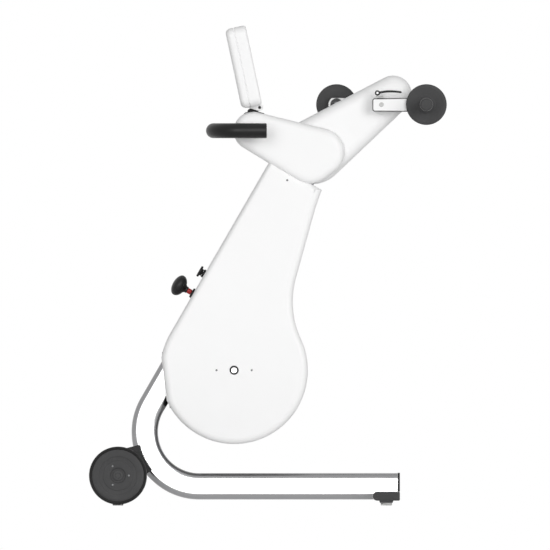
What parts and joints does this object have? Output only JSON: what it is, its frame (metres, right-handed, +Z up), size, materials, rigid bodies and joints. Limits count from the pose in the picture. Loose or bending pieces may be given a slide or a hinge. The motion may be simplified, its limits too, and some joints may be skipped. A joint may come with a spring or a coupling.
{
  "type": "active passive trainer",
  "caption": "Motor-driven arm and leg trainer: a round white drum on a height-adjustable column, tilting arm with hand cranks, display, U handlebar, bent steel base and rear transport wheels.",
  "frame": {"origin": "on the floor, under the middle of the whole object at rest", "axes": "+X towards the seated user, +Y to the user's right, +Z up"},
  "size_m": [0.8944, 0.567, 1.1994],
  "materials": {
    "white_plastic": "smooth satin gloss white",
    "polished_steel": "polished steel tube",
    "black_plastic": "fine moulded black",
    "dark_plastic": "fine moulded dark grey",
    "grey_pad": "light grey soft pad",
    "black_coated_metal": "black powder coat",
    "dark_coated_metal": "dark grey powder coat",
    "tyre_rubber": "matt black rubber",
    "zinc_steel": "zinc plated steel",
    "belt_rubber": "black ribbed belt rubber",
    "power_casing": "folded sheet casing",
    "bright_steel": "turned bright steel",
    "pulley_alloy": "cast alloy, turned rim",
    "red_metal": "red coat",
    "white_metal": "white powder coat",
    "grip_foam": "matt black foam",
    "screen_glass": "dark cover glass"
  },
  "bodies": {
    "base": {"base_tube": "polished_steel", "tube_end_cap": "black_plastic", "front_cross_bar": "dark_coated_metal", "cross_bar_cap_left": "black_plastic", "cross_bar_cap_right": "black_plastic", "front_pad_left": "grey_pad", "front_pad_right": "grey_pad", "rear_carrier": "black_coated_metal", "rear_pad_left": "grey_pad", "rear_pad_right": "grey_pad", "rear_axle": "dark_coated_metal"},
    "wheel_left": {"rim_left": "dark_plastic", "tyre_left": "tyre_rubber"},
    "wheel_right": {"rim_right": "dark_plastic", "tyre_right": "tyre_rubber"},
    "column": {"chassis": "zinc_steel", "lower_guide": "black_plastic", "upper_guide": "black_plastic", "housing_left": "white_plastic", "housing_right": "white_plastic", "head_shell_left": "white_plastic", "head_shell_right": "white_plastic", "leg_bearing_left": "black_plastic", "leg_bearing_right": "black_plastic", "leg_belt": "belt_rubber", "leg_motor": "zinc_steel", "power_unit": "power_casing", "mains_inlet": "black_plastic", "knob_bush": "black_plastic", "plunger_sleeve": "bright_steel", "pivot_shaft": "bright_steel", "display_hinge": "black_plastic", "handlebar": "zinc_steel", "handlebar_sleeve": "grip_foam", "handlebar_bracket": "black_coated_metal"},
    "leg_drive": {"leg_shaft": "bright_steel", "leg_pulley": "pulley_alloy"},
    "motor_rotor": {"leg_motor_pulley": "pulley_alloy"},
    "clamp_foot": {"clamp_shoe": "black_plastic"},
    "clamp_screw": {"clamp_spindle": "red_metal", "clamp_knob": "black_plastic"},
    "plunger": {"plunger_pin": "black_coated_metal"},
    "arm": {"arm_shell_left": "white_plastic", "arm_shell_right": "white_plastic", "arm_frame": "zinc_steel", "arm_bearing_left": "black_plastic", "arm_bearing_right": "black_plastic", "arm_motor": "zinc_steel"},
    "arm_crank": {"arm_shaft": "bright_steel", "crank_left": "white_metal", "crank_right": "white_metal", "grip_pin_left": "bright_steel", "grip_pin_right": "bright_steel"},
    "grip_left": {"grip_left": "dark_plastic"},
    "grip_right": {"grip_right": "dark_plastic"},
    "lever_left": {"crank_lever_left": "black_plastic"},
    "lever_right": {"crank_lever_right": "black_plastic"},
    "display": {"display_back": "white_plastic", "display_front": "white_plastic", "display_screen": "screen_glass"}
  },
  "joints": [
    {"name": "height_slide", "type": "slide", "parent": "base", "child": "column", "axis": [0.5, 0, 0.866], "range_m": [0, 0.12]},
    {"name": "wheel_left_spin", "type": "hinge", "parent": "base", "child": "wheel_left", "pos_m": [-0.37473, -0.204, 0.0748], "axis": [0, 1, 0], "continuous": true},
    {"name": "wheel_right_spin", "type": "hinge", "parent": "base", "child": "wheel_right", "pos_m": [-0.37473, 0.204, 0.0748], "axis": [0, 1, 0], "continuous": true},
    {"name": "leg_shaft_turn", "type": "hinge", "parent": "column", "child": "leg_drive", "pos_m": [-0.08448, 0, 0.3382], "axis": [0, 1, 0], "continuous": true},
    {"name": "leg_motor_turn", "type": "hinge", "parent": "column", "child": "motor_rotor", "pos_m": [-0.0029, 0, 0.5485], "axis": [0, 1, 0], "continuous": true},
    {"name": "clamp_shoe_slide", "type": "slide", "parent": "column", "child": "clamp_foot", "axis": [-0.866, 0, 0.5], "range_m": [0, 0.003]},
    {"name": "knob_turn", "type": "hinge", "parent": "clamp_foot", "child": "clamp_screw", "pos_m": [-0.14356, 0, 0.50488], "axis": [-0.866, 0, 0.5], "range_deg": [0, 720]},
    {"name": "plunger_pull", "type": "slide", "parent": "column", "child": "plunger", "axis": [-0.866, 0, 0.5], "range_m": [0, 0.01], "stiffness_N_per_m": 800},
    {"name": "arm_tilt", "type": "hinge", "parent": "column", "child": "arm", "pos_m": [0.11232, 0, 0.8848], "axis": [0, -1, 0], "range_deg": [-20, 25]},
    {"name": "arm_crank_turn", "type": "hinge", "parent": "arm", "child": "arm_crank", "pos_m": [0.28397, 0, 1.00233], "axis": [0, 1, 0], "continuous": true},
    {"name": "grip_left_spin", "type": "hinge", "parent": "arm_crank", "child": "grip_left", "pos_m": [0.39622, -0.17, 1.00233], "axis": [0, 1, 0], "continuous": true},
    {"name": "grip_right_spin", "type": "hinge", "parent": "arm_crank", "child": "grip_right", "pos_m": [0.17172, 0.17, 1.00233], "axis": [0, 1, 0], "continuous": true},
    {"name": "crank_lever_left_swing", "type": "hinge", "parent": "arm_crank", "child": "lever_left", "pos_m": [0.27397, -0.095, 1.03133], "axis": [0, -1, 0], "range_deg": [0, 100]},
    {"name": "crank_lever_right_swing", "type": "hinge", "parent": "arm_crank", "child": "lever_right", "pos_m": [0.29397, 0.095, 0.97333], "axis": [0, -1, 0], "range_deg": [0, 100]},
    {"name": "display_tilt", "type": "hinge", "parent": "column", "child": "display", "pos_m": [-0.02073, 0, 0.995], "axis": [0, -1, 0], "range_deg": [-10, 15]}
  ],
  "couplings": [
    {"joint": "leg_motor_turn", "follows": "leg_shaft_turn", "ratio": 4},
    {"joint": "knob_turn", "follows": "clamp_shoe_slide", "rad_per_m": 4188.8}
  ]
}
